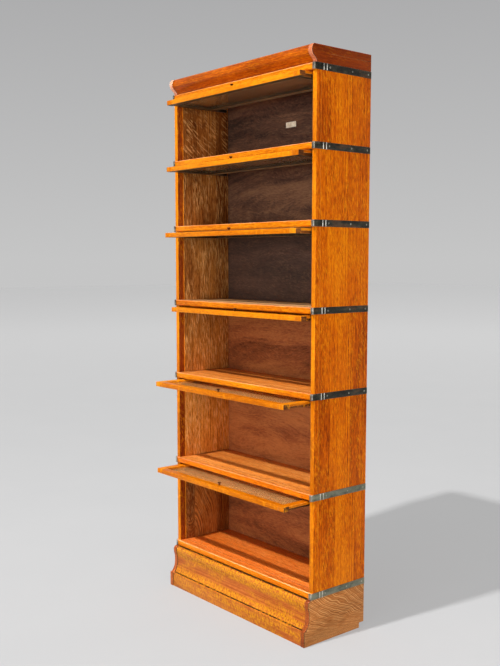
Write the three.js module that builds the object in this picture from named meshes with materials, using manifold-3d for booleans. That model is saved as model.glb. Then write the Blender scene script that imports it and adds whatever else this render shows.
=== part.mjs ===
// Barrister bookcase: six stacked oak units with up-and-over glass doors, on a
// moulded base and under a moulded cornice. Millimetres, +Z up, +X to the right of
// someone facing the doors, -Y towards them. The origin is on the floor, under the
// middle of the whole outline with its doors open.
import * as THREE from 'three';
import { mergeVertices } from 'three/addons/utils/BufferGeometryUtils.js';
import Module from 'manifold-3d';

const wasm = await Module();
wasm.setup();

// ---------- Overall sizes ----------
const caseWidth = 864;
const caseDepth = 278;                            // front edges of the ends to the back
const baseHeight = 175;                           // floor to the lowest unit
const unitHeights = [375, 375, 314, 314, 273, 273]; // from the lowest unit up
const corniceRise = 62;                           // cornice above its own bottom rail

// ---------- Boards ----------
const endThickness = 20.5;
const linerThickness = 4.5;                       // inner lining behind the door's place
const linerSetback = 26;                          // front edge of the lining
const backThickness = 8;
const shelfThickness = 22.5;
const railHeight = 24;                            // round-nosed front rail of each shelf
const railProjection = 8;                         // ahead of the ends' front edges
const railNose = 7;                               // rounding of the rail's lower front edge
const railShoulder = 5;                           // rounding of the rail's upper front edge
const fitGap = 0.3;                               // left between pieces that meet

// ---------- Steel bands between the units ----------
const bandThickness = 2.5;
const bandProud = 0.5;                            // beyond the face of the ends
const bandWrap = 13;                              // reach of the cap across the front rail
const bandCorner = 6;                             // outer radius where the cap turns
const bandBeadPlaces = [34, 49];                  // raised beads, behind the front edge
const bandBeadRadius = 2;

// ---------- Doors ----------
const doorThickness = 19;
const doorSideClearance = 1.5;                    // to the lining, each side
const doorMember = 34;                            // width of stiles and rails
const doorSwingClearance = 3;                     // lower edge over the shelf's rail
const pinToTopEdge = 10;                          // hinge line to the door's upper edge
const glassThickness = 3;
const glassShoulder = 8;                          // frame left in front of the pane
const glassLap = 6;                               // pane held behind the frame
const doorReach = [124, 127, 43, 72, 62, 57];     // open doors, ahead of the ends' edges

// ---------- Door runners ----------
const pinDrop = 15.5;                             // hinge line below the board above
const pinRadius = 2.5;
const pinLength = 12;                             // depth of the pin in the stile
const pinClearance = 0.3;
const grooveHeight = 15;
const grooveDepth = 8;                            // from the lining's face
const grooveFront = 3;                            // front stop, behind the ends' edges
const trolleyHeight = 9;
const trolleyLead = 5;                            // trolley ahead of the pin
const trolleyClearance = 0.7;                     // trolley to the groove's floor
const wheelRadius = 5.8;
const wheelThickness = 3;
const tieRodRadius = 3.5;
const tieRodSetback = 20;                         // tie rod behind the pins

// ---------- Door pull ----------
const pullRadius = 7;
const pullHeight = 13;
const pullSetback = 17;                           // from the door's lower edge

// ---------- Cornice and base ----------
const mouldingEnd = 20;                           // end boards of cornice and base
const mouldingInset = 3;                          // front moulding behind the end boards
const corniceTop = 14;                            // top board
const corniceReach = 25;                          // foremost line of the cornice
const baseReach = 44;                             // skirting ahead of the ends' edges
const baseBoard = 20;                             // back rail of the base
const baseFrontDepth = 34;                        // thickness left behind the skirting
const skirtingNotch = 25;                         // cut for a room's skirting board
const skirtingNotchHeight = 20;

// ---------- Places worked out from the sizes ----------
const halfWidth = caseWidth / 2;
const endInner = halfWidth - endThickness;
const linerFace = endInner - linerThickness;
const shelfHalf = endInner - fitGap;
const backFace = caseDepth - backThickness;
const bandInner = halfWidth + bandProud - bandThickness;
const rebateFloor = bandInner - fitGap;
const doorHalf = linerFace - doorSideClearance;
const grooveFloor = linerFace + grooveDepth;
const trolleyOuter = grooveFloor - trolleyClearance;
const corniceBottom = unitHeights.reduce((sum, height) => sum + height, baseHeight);
const outlineShift = (caseDepth - Math.max(...doorReach)) / 2;

// ---------- Finishes ----------
const oak = { color: 0xb5651d, roughness: 0.45, metalness: 0 };
const oakGolden = { color: 0xc47a32, roughness: 0.5, metalness: 0 };
const oakRed = { color: 0x9a4718, roughness: 0.42, metalness: 0 };
const oakDark = { color: 0x4b3228, roughness: 0.7, metalness: 0 };
const bandSteel = { color: 0x45443a, roughness: 0.5, metalness: 0.8 };
const runnerSteel = { color: 0x8d877a, roughness: 0.4, metalness: 0.9 };
const clearGlass = { color: 0xdfe6e2, roughness: 0.05, metalness: 0, transparent: true, opacity: 0.3 };

// ---------- Shape helpers ----------
const alongX = new THREE.Matrix4().makeBasis(
  new THREE.Vector3(0, 1, 0),
  new THREE.Vector3(0, 0, 1),
  new THREE.Vector3(1, 0, 0),
);

function toSolid(geometry) {
  const bare = geometry.index ? geometry.toNonIndexed() : geometry.clone();
  bare.deleteAttribute('normal');
  bare.deleteAttribute('uv');
  const merged = mergeVertices(bare);
  return new wasm.Manifold(new wasm.Mesh({
    numProp: 3,
    vertProperties: new Float32Array(merged.attributes.position.array),
    triVerts: new Uint32Array(merged.index.array),
  }));
}

function toGeometry(solid) {
  const mesh = solid.getMesh();
  const geometry = new THREE.BufferGeometry();
  geometry.setAttribute('position', new THREE.BufferAttribute(mesh.vertProperties, 3));
  geometry.setIndex(new THREE.BufferAttribute(mesh.triVerts, 1));
  geometry.computeVertexNormals();
  return geometry;
}

function block([x0, x1], [y0, y1], [z0, z1]) {
  const geometry = new THREE.BoxGeometry(x1 - x0, y1 - y0, z1 - z0);
  return geometry.translate((x0 + x1) / 2, (y0 + y1) / 2, (z0 + z1) / 2);
}

// A round bar along X.
function barAlongX(radius, x0, x1, y, z, sides = 24) {
  const geometry = new THREE.CylinderGeometry(radius, radius, x1 - x0, sides);
  return geometry.rotateZ(Math.PI / 2).translate((x0 + x1) / 2, y, z);
}

// An outline drawn in (Y, Z), carried along X from x0 to x1.
function mouldingAlongX(outline, x0, x1) {
  const geometry = new THREE.ExtrudeGeometry(outline, {
    depth: x1 - x0, bevelEnabled: false, curveSegments: 8,
  });
  return geometry.applyMatrix4(alongX).translate(x0, 0, 0);
}

function union(...geometries) {
  return geometries.map(toSolid).reduce((whole, piece) => whole.add(piece));
}

// The same geometry on the other side of the case.
function mirrored(geometry) {
  const solid = toSolid(geometry).mirror([1, 0, 0]);
  return toGeometry(solid);
}

// ---------- One unit ----------
// A right-hand end: outer board with its lining, the runner groove near the top and
// the rebate for the band at the foot. Its own bottom is at z = 0.
function endPanel(height) {
  const board = block([endInner, halfWidth], [0, caseDepth], [0, height - fitGap]);
  const lining = block(
    [linerFace, endInner + linerThickness],
    [linerSetback, backFace - fitGap],
    [railHeight + fitGap, height - fitGap],
  );
  const pinZ = height - pinDrop;
  const groove = block(
    [linerFace - 1, grooveFloor],
    [grooveFront, backFace],
    [pinZ - grooveHeight / 2, pinZ + grooveHeight / 2],
  );
  const backRebate = block([linerFace - 1, endInner + fitGap], [backFace - fitGap, caseDepth + 1], [-1, height]);
  const bandRebate = block([rebateFloor, halfWidth + 1], [-1, caseDepth + 1], [-1, railHeight + fitGap]);
  return union(board, lining)
    .subtract(toSolid(groove))
    .subtract(toSolid(backRebate))
    .subtract(toSolid(bandRebate));
}

// The round-nosed front rail, drawn in (Y, Z) from its lower back corner.
function railOutline() {
  const front = -railProjection;
  const outline = new THREE.Shape();
  outline.moveTo(-fitGap, 0);
  outline.lineTo(-fitGap, railHeight);
  outline.lineTo(front + railShoulder, railHeight);
  outline.quadraticCurveTo(front, railHeight, front, railHeight - railShoulder);
  outline.lineTo(front, railNose);
  outline.quadraticCurveTo(front, 0, front + railNose, 0);
  outline.closePath();
  return outline;
}

// A shelf board with its front rail; the board above a unit is also its ceiling.
function shelf() {
  const rail = mouldingAlongX(railOutline(), -rebateFloor, rebateFloor);
  const board = block(
    [-shelfHalf, shelfHalf],
    [-railProjection / 2, backFace - fitGap],
    [0, shelfThickness],
  );
  return union(rail, board);
}

function backPanel(height) {
  return block([-shelfHalf, shelfHalf], [backFace, caseDepth], [0, height - fitGap]);
}

// ---------- Bands ----------
// Plan of a right-hand band: a strip along the side, raised beads, and a cap that
// turns round the end of the front rail.
function bandPlan() {
  const outer = halfWidth + bandProud;
  const capInner = -railProjection - fitGap;
  const capOuter = capInner - bandThickness;
  const plan = new THREE.Shape();
  plan.moveTo(bandInner, caseDepth);
  plan.lineTo(bandInner, capInner);
  plan.lineTo(outer - bandWrap, capInner);
  plan.lineTo(outer - bandWrap, capOuter);
  plan.lineTo(outer - bandCorner, capOuter);
  plan.absarc(outer - bandCorner, capOuter + bandCorner, bandCorner, -Math.PI / 2, 0, false);
  for (const place of bandBeadPlaces) {
    plan.lineTo(outer, place - bandBeadRadius);
    plan.absarc(outer, place, bandBeadRadius, -Math.PI / 2, Math.PI / 2, false);
  }
  plan.lineTo(outer, caseDepth);
  plan.closePath();
  return plan;
}

function band() {
  return new THREE.ExtrudeGeometry(bandPlan(), {
    depth: railHeight, bevelEnabled: false, curveSegments: 6,
  });
}

// ---------- Doors: drawn lying open, with the hinge line along X at the origin ----------
function doorLength(height) {
  return height - pinDrop - railHeight - doorSwingClearance;
}

function doorPull() {
  const profile = [
    [0, -1], [pullRadius * 0.6, -1], [pullRadius * 0.6, 1.5], [pullRadius * 0.42, 4],
    [pullRadius * 0.5, 6.5], [pullRadius * 0.86, 8], [pullRadius, 10],
    [pullRadius * 0.86, pullHeight - 1.2], [pullRadius * 0.45, pullHeight - 0.2], [0, pullHeight],
  ].map(([radius, height]) => new THREE.Vector2(radius, height));
  return new THREE.LatheGeometry(profile, 20).rotateX(Math.PI / 2);
}

// Stiles and rails in one glued frame, rebated behind for the pane, bored for the two
// hinge pins and carrying its pull.
function doorFrame(length) {
  const half = doorThickness / 2;
  const openingX = doorHalf - doorMember;
  const openingY = [doorMember - length, pinToTopEdge - doorMember];
  const outer = block([-doorHalf, doorHalf], [-length, pinToTopEdge], [-half, half]);
  const opening = block([-openingX, openingX], openingY, [-half - 1, half + 1]);
  const rebate = block(
    [-openingX - glassLap, openingX + glassLap],
    [openingY[0] - glassLap, openingY[1] + glassLap],
    [-half - 1, half - glassShoulder],
  );
  const boreStart = doorHalf - pinLength - 1;
  const bores = [-1, 1].map((side) => barAlongX(
    pinRadius + pinClearance,
    side > 0 ? boreStart : -doorHalf - 1,
    side > 0 ? doorHalf + 1 : -boreStart,
    0, 0,
  ));
  const pull = doorPull().translate(0, pullSetback - length, half);
  return toSolid(outer)
    .subtract(toSolid(opening))
    .subtract(toSolid(rebate))
    .subtract(toSolid(bores[0]))
    .subtract(toSolid(bores[1]))
    .add(toSolid(pull));
}

function doorGlass(length) {
  const lap = doorMember - glassLap + fitGap;
  const top = doorThickness / 2 - glassShoulder - fitGap;
  return block(
    [lap - doorHalf, doorHalf - lap],
    [lap - length, pinToTopEdge - lap],
    [top - glassThickness, top],
  );
}

// The runner that carries a door: a trolley with a wheel and a pin in each groove,
// joined behind the door by a tie rod.
function doorCarrier() {
  const pieces = [barAlongX(tieRodRadius, -linerFace - 1, linerFace + 1, tieRodSetback, 0)];
  for (const side of [-1, 1]) {
    const inner = linerFace + fitGap;
    const span = (x0, x1) => (side > 0 ? [x0, x1] : [-x1, -x0]);
    const trolleyEnd = tieRodSetback + tieRodRadius;
    const halfTrolley = trolleyHeight / 2;
    pieces.push(block(span(inner, trolleyOuter), [-trolleyLead, trolleyEnd], [-halfTrolley, halfTrolley]));
    pieces.push(barAlongX(pinRadius, ...span(doorHalf - pinLength, inner + 1), 0, 0));
    pieces.push(barAlongX(wheelRadius, ...span(inner + 1, inner + 1 + wheelThickness), trolleyEnd / 2, 0));
  }
  return union(...pieces);
}

// ---------- Cornice ----------
// Side outline of the cornice in (Y, Z) from its own bottom: a hollow under a rounded
// nose. inset moves the moulded front back; base starts it above the bottom board.
function corniceOutline(inset, lowZ, backY) {
  const nose = inset - corniceReach;
  const outline = new THREE.Shape();
  outline.moveTo(backY, lowZ);
  outline.lineTo(inset, lowZ);
  outline.bezierCurveTo(inset - 1, lowZ + 16, nose + 5, lowZ + 18, nose + 2, lowZ + 32);
  outline.quadraticCurveTo(nose - 2, lowZ + 40, nose + 2, lowZ + 48);
  outline.quadraticCurveTo(nose + 5, lowZ + corniceRise - 2, nose + 13, lowZ + corniceRise);
  outline.lineTo(backY, lowZ + corniceRise);
  outline.closePath();
  return outline;
}

// Bottom board with its rail, end boards and top board, glued up and open at the back.
function corniceCase() {
  const endOuter = halfWidth;
  const endStart = halfWidth - mouldingEnd;
  const low = railHeight + fitGap;
  const top = railHeight + corniceRise;
  const endBoard = (x0, x1) => mouldingAlongX(corniceOutline(0, low, caseDepth), x0, x1);
  const foot = (x0, x1) => block([x0, x1], [0, caseDepth], [0, low + 1]);
  const bottomBoard = block([-endStart - 1, endStart + 1], [0, backFace - fitGap], [0, shelfThickness]);
  const topBoard = block([-endStart - 1, endStart + 1], [mouldingInset, caseDepth], [top - corniceTop, top + fitGap]);
  const cuts = [-1, 1].map((side) => block(
    side > 0 ? [rebateFloor, halfWidth + 1] : [-halfWidth - 1, -rebateFloor],
    [-1, caseDepth + 1],
    [-1, low],
  ));
  const glued = union(
    toGeometry(shelf()), topBoard,
    endBoard(-endOuter, -endStart), endBoard(endStart, endOuter),
    foot(-endOuter, -endStart), foot(endStart, endOuter), bottomBoard,
  );
  return glued.subtract(toSolid(cuts[0])).subtract(toSolid(cuts[1]));
}

function corniceFront() {
  const half = halfWidth - mouldingEnd - fitGap;
  return mouldingAlongX(corniceOutline(mouldingInset - fitGap, railHeight + fitGap, mouldingInset - fitGap), -half, half);
}

// ---------- Base ----------
// Ogee outline of the base in (Y, Z): rounded nose, hollow, then the skirting.
function baseFrontCurve(outline, inset) {
  const top = baseHeight - fitGap;
  const skirting = inset - baseReach;
  outline.lineTo(inset - 9, top);
  outline.quadraticCurveTo(inset - 25, top - 2, inset - 25, top - 18);
  outline.bezierCurveTo(inset - 25, top - 34, inset - 19, top - 36, inset - 19, top - 56);
  outline.bezierCurveTo(inset - 19, top - 92, inset - 24, top - 98, skirting + 2, top - 112);
  outline.lineTo(skirting, top - 116);
  outline.lineTo(skirting, 0);
}

function baseEndOutline() {
  const outline = new THREE.Shape();
  outline.moveTo(caseDepth, skirtingNotchHeight);
  outline.lineTo(caseDepth, baseHeight - fitGap);
  baseFrontCurve(outline, 0);
  outline.lineTo(caseDepth - skirtingNotch, 0);
  outline.lineTo(caseDepth - skirtingNotch, skirtingNotchHeight);
  outline.closePath();
  return outline;
}

// Two end boards joined by a rail at the back.
function baseFrame() {
  const endStart = halfWidth - mouldingEnd;
  const rail = block(
    [-endStart - 1, endStart + 1],
    [caseDepth - baseBoard, caseDepth],
    [skirtingNotchHeight, baseHeight - fitGap],
  );
  return union(
    mouldingAlongX(baseEndOutline(), -halfWidth, -endStart),
    mouldingAlongX(baseEndOutline(), endStart, halfWidth),
    rail,
  );
}

function baseFront() {
  const half = halfWidth - mouldingEnd - fitGap;
  const back = mouldingInset - baseReach + baseFrontDepth;
  const outline = new THREE.Shape();
  outline.moveTo(back + mouldingInset + 7, 0);
  outline.lineTo(back + mouldingInset + 7, baseHeight - fitGap);
  baseFrontCurve(outline, mouldingInset);
  outline.closePath();
  return mouldingAlongX(outline, -half, half);
}

// ---------- Assembly ----------
const bookcase = new THREE.Group();
bookcase.position.y = -outlineShift;

function place(name, shape, finish, y, z) {
  const geometry = shape.isBufferGeometry ? shape : toGeometry(shape);
  const mesh = new THREE.Mesh(geometry, new THREE.MeshStandardMaterial(finish));
  mesh.name = name;
  mesh.position.set(0, y, z);
  bookcase.add(mesh);
}

place('base_frame', baseFrame(), oakGolden, 0, 0);
place('base_front', baseFront(), oakGolden, 0, 0);

let unitFloor = baseHeight;
unitHeights.forEach((height, index) => {
  const unit = `unit_${index + 1}`;
  const length = doorLength(height);
  const pinY = length - doorReach[index];
  const pinZ = unitFloor + height - pinDrop;
  const rightEnd = toGeometry(endPanel(height));
  place(`${unit}_end_right`, rightEnd, oak, 0, unitFloor);
  place(`${unit}_end_left`, mirrored(rightEnd), oak, 0, unitFloor);
  place(`${unit}_shelf`, shelf(), oak, 0, unitFloor);
  place(`${unit}_back`, backPanel(height), oakDark, 0, unitFloor);
  place(`${unit}_door_frame`, doorFrame(length), oak, pinY, pinZ);
  place(`${unit}_door_glass`, doorGlass(length), clearGlass, pinY, pinZ);
  place(`${unit}_door_carrier`, doorCarrier(), runnerSteel, pinY, pinZ);
  place(`band_${index + 1}_right`, band(), bandSteel, 0, unitFloor);
  place(`band_${index + 1}_left`, mirrored(band()), bandSteel, 0, unitFloor);
  unitFloor += height;
});

const lastBand = unitHeights.length + 1;
place(`band_${lastBand}_right`, band(), bandSteel, 0, corniceBottom);
place(`band_${lastBand}_left`, mirrored(band()), bandSteel, 0, corniceBottom);
place('cornice_case', corniceCase(), oakRed, 0, corniceBottom);
place('cornice_front', corniceFront(), oakRed, 0, corniceBottom);

export default bookcase;
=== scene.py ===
import math
import random

import bmesh
import bpy
from mathutils import Matrix, Vector
from mathutils.geometry import interpolate_bezier


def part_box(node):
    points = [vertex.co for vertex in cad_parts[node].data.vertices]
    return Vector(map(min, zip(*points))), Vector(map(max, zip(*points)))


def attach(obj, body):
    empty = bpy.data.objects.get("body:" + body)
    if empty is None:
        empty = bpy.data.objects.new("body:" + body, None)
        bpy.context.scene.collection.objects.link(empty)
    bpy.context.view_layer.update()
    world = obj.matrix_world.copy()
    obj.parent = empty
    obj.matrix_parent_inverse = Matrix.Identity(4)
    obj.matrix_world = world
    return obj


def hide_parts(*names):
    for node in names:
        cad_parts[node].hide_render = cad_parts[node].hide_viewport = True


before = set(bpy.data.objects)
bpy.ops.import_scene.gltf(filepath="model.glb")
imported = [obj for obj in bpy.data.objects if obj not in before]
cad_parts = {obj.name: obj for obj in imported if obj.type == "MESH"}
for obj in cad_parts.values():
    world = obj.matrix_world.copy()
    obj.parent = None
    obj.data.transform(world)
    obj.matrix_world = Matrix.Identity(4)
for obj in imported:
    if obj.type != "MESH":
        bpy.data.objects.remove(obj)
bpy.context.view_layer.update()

scene = bpy.context.scene
scene.view_settings.view_transform = "Standard"  # keeps the orange of the varnish
grainPicks = random.Random(41)                   # which part of the log each board shows

# the camera comes first
view = {
    "place": (2.7587, -2.3246, 1.4347),
    "turn": 50.247,           # degrees round the upright axis
    "tip": 6.053,             # degrees below level
    "lens": 48.55,
    "shift": (0.003, 0.033),
}
cameraData = bpy.data.cameras.new("viewCamera")
cameraData.lens = view["lens"]
cameraData.shift_x, cameraData.shift_y = view["shift"]
viewCamera = bpy.data.objects.new("viewCamera", cameraData)
viewCamera.location = view["place"]
viewCamera.rotation_euler = (math.radians(90 - view["tip"]), 0, math.radians(view["turn"]))
scene.collection.objects.link(viewCamera)
scene.camera = viewCamera
print("camera is set")


# small helpers for the node materials
bench = {"tree": None}


def shown(red, green, blue):
    # a colour as it is read off a screen, made linear
    def straight(level):
        share = level / 255
        return share / 12.92 if share <= 0.04045 else ((share + 0.055) / 1.055) ** 2.4
    return (straight(red), straight(green), straight(blue), 1)


def newTree(owner):
    # the helpers below add their nodes to the tree that was started last
    owner.use_nodes = True
    bench["tree"] = owner.node_tree
    owner.node_tree.nodes.clear()


def wire(kind, output, inputs, **settings):
    # adds a node, fills or links its inputs, and gives back one of its outputs
    tree = bench["tree"]
    made = tree.nodes.new(kind)
    for name, value in settings.items():
        setattr(made, name, value)
    for name, value in inputs.items():
        if isinstance(value, bpy.types.NodeSocket):
            tree.links.new(value, made.inputs[name])
        else:
            made.inputs[name].default_value = value
    return made.outputs[output]


def calc(operation, *values):
    return wire("ShaderNodeMath", 0, dict(enumerate(values)), operation=operation)


def times(first, second):
    return calc("MULTIPLY", first, second)


def vectorCalc(operation, *values, output=0):
    return wire("ShaderNodeVectorMath", output, dict(enumerate(values)), operation=operation)


def noise(place, stretch, detail=2.0, rough=0.55, output="Fac"):
    # noise whose cells are 1 / stretch metres long along each axis
    scaled = vectorCalc("MULTIPLY", place, stretch)
    inputs = {"Vector": scaled, "Scale": 1.0, "Detail": detail, "Roughness": rough}
    return wire("ShaderNodeTexNoise", output, inputs)


def lineNoise(distance, density, detail=3.0, rough=0.6):
    # noise that changes with one distance only, such as the growth lines of a tree
    inputs = {"W": times(distance, density), "Scale": 1.0, "Detail": detail, "Roughness": rough}
    return wire("ShaderNodeTexNoise", "Fac", inputs, noise_dimensions="1D")


def between(value, low, high, start=0.0, end=1.0):
    inputs = {"Value": value, "From Min": low, "From Max": high, "To Min": start, "To Max": end}
    return wire("ShaderNodeMapRange", "Result", inputs, interpolation_type="SMOOTHSTEP")


def mixed(share, first, second):
    return wire("ShaderNodeMix", 2, {0: share, 6: first, 7: second}, data_type="RGBA")


def ramp(value, stops):
    made = bench["tree"].nodes.new("ShaderNodeValToRGB")
    while len(made.color_ramp.elements) < len(stops):
        made.color_ramp.elements.new(0.5)
    for element, (position, colour) in zip(made.color_ramp.elements, stops):
        element.position = position
        element.color = colour
    bench["tree"].links.new(value, made.inputs[0])
    return made.outputs[0]


def summed(start, parts):
    # start plus each value, measured from its middle, times its weight
    total = start
    for value, weight in parts:
        centred = calc("SUBTRACT", value, 0.5)
        total = calc("MULTIPLY_ADD", centred, weight, total)
    return total


def newMaterial(name):
    material = bpy.data.materials.new(name)
    newTree(material)
    return material


def closeTree(shader, kind="ShaderNodeOutputMaterial"):
    output = bench["tree"].nodes.new(kind)
    bench["tree"].links.new(shader, output.inputs["Surface"])


def edgeWearAndGlint(reach, low=0.02, high=0.3):
    # 1 on rounded corners and 0 on flat faces, where wear and a painted highlight go
    soft = wire("ShaderNodeBevel", 0, {"Radius": reach}, samples=4)
    straight = wire("ShaderNodeNewGeometry", "Normal", {})
    alike = vectorCalc("DOT_PRODUCT", soft, straight, output="Value")
    return between(calc("SUBTRACT", 1.0, alike), low, high)


# oak: growth lines, streaks, pores and ray flecks, laid along each board by its own
# woodPlace attribute (along, across and through the board, in metres)
grain = {
    # cells to the metre along, across and through the board
    "streaks": (16.0, 460.0, 460.0), "broad": (2.4, 12.0, 12.0), "mottle": (42.0, 190.0, 190.0),
    "pores": (75.0, 1500.0, 1500.0), "rubAndGlint": (30.0, 60.0, 60.0), "patches": (7.0, 26.0, 9.0),
    "fleckDepth": 40.0, "flamePatches": (12.0, 26.0, 20.0), "ripple": (11.0, 15.0, 11.0),
    "poreEdge": (0.60, 0.72), "patchEdge": (0.38, 0.56),
    "boardShift": (0.7, 0.0, 9.0), "boardTones": 1.6,   # how far glued boards differ
    "flameFoot": 0.004, "flameWander": 0.42, "flameLines": 24.0, "flameEdge": (0.47, 0.60),
    "rubAndGlintReach": 0.0018, "bumpHeight": 0.0006,
}
oakBase = {
    "shades": ((132, 48, 0), (206, 92, 0), (238, 134, 4)),   # dark, middle and light
    # the edge colour marks wear and, in part, a painted highlight on rounded edges
    "fleck": (246, 156, 16), "pore": (92, 34, 4), "worn": (250, 160, 30),
    "sway": 0.010, "drift": (1.3, 8.0, 8.0),   # how far and how fast the growth lines wander
    "crown": 0.0,             # above 0 the growth lines close into arches
    "lines": 150.0, "lineWeight": 0.55,
    "streakWeight": 0.62, "broadWeight": 0.6, "mottleWeight": 0.9, "toneWeight": 0.12,
    "fleckTilt": 12.0, "fleckSize": (55.0, 260.0), "fleckShare": 0.45, "fleckEdge": (0.52, 0.62),
    "bands": (),              # heights where the rays crowd together, half widths and weights
    "boards": 0.0,            # width of the glued boards, if the panel has any
    "flame": 0.0,             # above 0 the rays sweep down across the board
    "poreShare": 0.45, "wear": 0.5,
    "rough": (0.34, 0.55), "shine": 0.07, "coat": 0.02, "bump": 0.35,
}


def gluedBoards(place, tone, width):
    # each board of that width shows another part of the log and has its own tone
    cut = wire("ShaderNodeSeparateXYZ", "Y", {0: place})
    number = calc("FLOOR", calc("DIVIDE", cut, width))
    pick = wire("ShaderNodeTexWhiteNoise", "Color", {"W": number}, noise_dimensions="1D")
    place = vectorCalc("MULTIPLY_ADD", pick, grain["boardShift"], place)
    pickTone = wire("ShaderNodeTexWhiteNoise", "Value", {"W": number}, noise_dimensions="1D")
    tone = calc("MULTIPLY_ADD", calc("SUBTRACT", pickTone, 0.5), grain["boardTones"], tone)
    return place, tone


def sweptFlames(place, along, across, slope):
    # rays that run down across the board in long flames, and the patches that show them
    low = calc("MAXIMUM", across, grain["flameFoot"])
    sweep = calc("MULTIPLY_ADD", along, slope, calc("LOGARITHM", low, math.e))
    ripple = noise(place, grain["ripple"], detail=1.0)
    wander = calc("MULTIPLY_ADD", ripple, grain["flameWander"], sweep)
    flames = lineNoise(wander, grain["flameLines"], detail=1.0, rough=0.4)
    patches = between(noise(place, grain["flamePatches"]), 0.25, 0.50, 0.25, 1.0)
    return between(flames, *grain["flameEdge"]), patches


def rayFlecks(place, grown, across, finish):
    # short tilted flecks, in patches or crowded into bands
    inputs = {"Vector": grown, "Angle": math.radians(finish["fleckTilt"])}
    tilted = wire("ShaderNodeVectorRotate", 0, inputs, rotation_type="Z_AXIS")
    cells = (*finish["fleckSize"], grain["fleckDepth"])
    flecks = between(noise(tilted, cells), *finish["fleckEdge"])
    patches = between(noise(place, grain["patches"]), *grain["patchEdge"])
    for height, half, weight in finish["bands"]:
        away = calc("ABSOLUTE", calc("SUBTRACT", across, height))
        banded = between(away, half * 0.5, half, weight, 0.0)
        patches = calc("MAXIMUM", times(patches, 0.7), banded)
    return flecks, patches


def makeOak(name, *shades, base=oakBase, **changes):
    finish = {**oakBase, **base, **changes}
    dark, middle, light = [shown(*shade) for shade in shades or finish["shades"]]
    material = newMaterial(name)
    place = wire("ShaderNodeAttribute", "Vector", {}, attribute_name="woodPlace")
    tone = wire("ShaderNodeAttribute", "Fac", {}, attribute_name="boardTone")
    if finish["boards"]:
        place, tone = gluedBoards(place, tone, finish["boards"])
    drift = noise(place, finish["drift"], output="Color")
    sway = finish["sway"]
    grown = vectorCalc("MULTIPLY_ADD", drift, (0.0, sway, sway), place)
    along = wire("ShaderNodeSeparateXYZ", "X", {0: grown})
    across = wire("ShaderNodeSeparateXYZ", "Y", {0: grown})
    ringPlace = across
    if finish["crown"]:
        reach = times(along, finish["crown"])
        squares = calc("ADD", calc("POWER", reach, 2.0), calc("POWER", across, 2.0))
        ringPlace = calc("SQRT", squares)
    lines = lineNoise(ringPlace, finish["lines"])
    streaks = noise(grown, grain["streaks"], detail=3.0, rough=0.65)
    broad = noise(place, grain["broad"], detail=3.0)
    mottle = noise(grown, grain["mottle"], detail=3.0, rough=0.65)
    pores = between(noise(grown, grain["pores"], detail=1.0), *grain["poreEdge"])
    if finish["flame"]:
        flecks, patches = sweptFlames(place, along, across, finish["flame"])
    else:
        flecks, patches = rayFlecks(place, grown, across, finish)
    shade = calc("MULTIPLY_ADD", tone, finish["toneWeight"], 0.5)
    shade = summed(shade, [
        (lines, finish["lineWeight"]), (streaks, finish["streakWeight"]),
        (broad, finish["broadWeight"]), (mottle, finish["mottleWeight"]),
    ])
    colour = ramp(shade, [(0.22, dark), (0.5, middle), (0.78, light)])
    fleckShare = times(times(flecks, patches), finish["fleckShare"])
    colour = mixed(fleckShare, colour, shown(*finish["fleck"]))
    colour = mixed(times(pores, finish["poreShare"]), colour, shown(*finish["pore"]))
    # rounded edges turn paler: partly wear, partly a painted highlight
    rubAndGlint = times(noise(place, grain["rubAndGlint"], detail=3.0), finish["wear"])
    worn = times(edgeWearAndGlint(grain["rubAndGlintReach"]), rubAndGlint)
    colour = mixed(worn, colour, shown(*finish["worn"]))
    gloss = summed(0.5, [(streaks, 0.8), (mottle, 0.8), (pores, 0.3)])
    height = summed(0.5, [(streaks, 0.6), (pores, -0.7), (flecks, 0.15), (mottle, 0.5)])
    bumpInputs = {"Strength": finish["bump"], "Distance": grain["bumpHeight"], "Height": height}
    shader = wire("ShaderNodeBsdfPrincipled", 0, {
        "Base Color": colour, "Roughness": between(gloss, 0.2, 0.9, *finish["rough"]),
        "Normal": wire("ShaderNodeBump", 0, bumpInputs),
        "Specular IOR Level": finish["shine"], "Coat Weight": finish["coat"], "Coat Roughness": 0.18,
    })
    closeTree(shader)
    return material


steelBase = {
    "bare": (232, 226, 212), "rust": (92, 58, 34), "rustShare": 0.35, "wear": 1.4, "rough": (0.28, 0.55),
    # cells to the metre
    "patina": (60.0, 35.0, 60.0), "grime": (14.0, 9.0, 30.0), "specks": (420.0, 420.0, 420.0),
    "scratches": (900.0, 14.0, 900.0), "speckEdge": (0.60, 0.70), "rustEdge": (0.52, 0.68),
    "rubAndGlintReach": 0.0012, "bumpHeight": 0.0004,
}


def makeSteel(name, *shades, **changes):
    finish = {**steelBase, **changes}
    dark, middle, light = [shown(*shade) for shade in shades]
    material = newMaterial(name)
    place = wire("ShaderNodeTexCoord", "Object", {})
    patina = noise(place, finish["patina"], detail=4.0, rough=0.6)
    grime = noise(place, finish["grime"], detail=3.0)
    specks = between(noise(place, finish["specks"], detail=1.0), *finish["speckEdge"])
    scratches = noise(place, finish["scratches"], detail=2.0)
    shade = summed(0.5, [(patina, 0.9), (grime, 0.6), (scratches, 0.35)])
    colour = ramp(shade, [(0.25, dark), (0.5, middle), (0.8, light)])
    rusty = times(between(grime, *finish["rustEdge"]), finish["rustShare"])
    colour = mixed(rusty, colour, shown(*finish["rust"]))
    colour = mixed(times(specks, 0.5), colour, light)
    # rounded edges turn to the bare colour: partly worn steel, partly a painted highlight
    rubAndGlint = times(patina, finish["wear"])
    worn = times(edgeWearAndGlint(finish["rubAndGlintReach"]), rubAndGlint)
    colour = mixed(worn, colour, shown(*finish["bare"]))
    bumpInputs = {"Strength": 0.35, "Distance": finish["bumpHeight"], "Height": patina}
    shader = wire("ShaderNodeBsdfPrincipled", 0, {
        "Base Color": colour, "Roughness": between(patina, 0.25, 0.75, *finish["rough"]),
        "Normal": wire("ShaderNodeBump", 0, bumpInputs), "Metallic": 0.8,
    })
    closeTree(shader)
    return material


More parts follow.
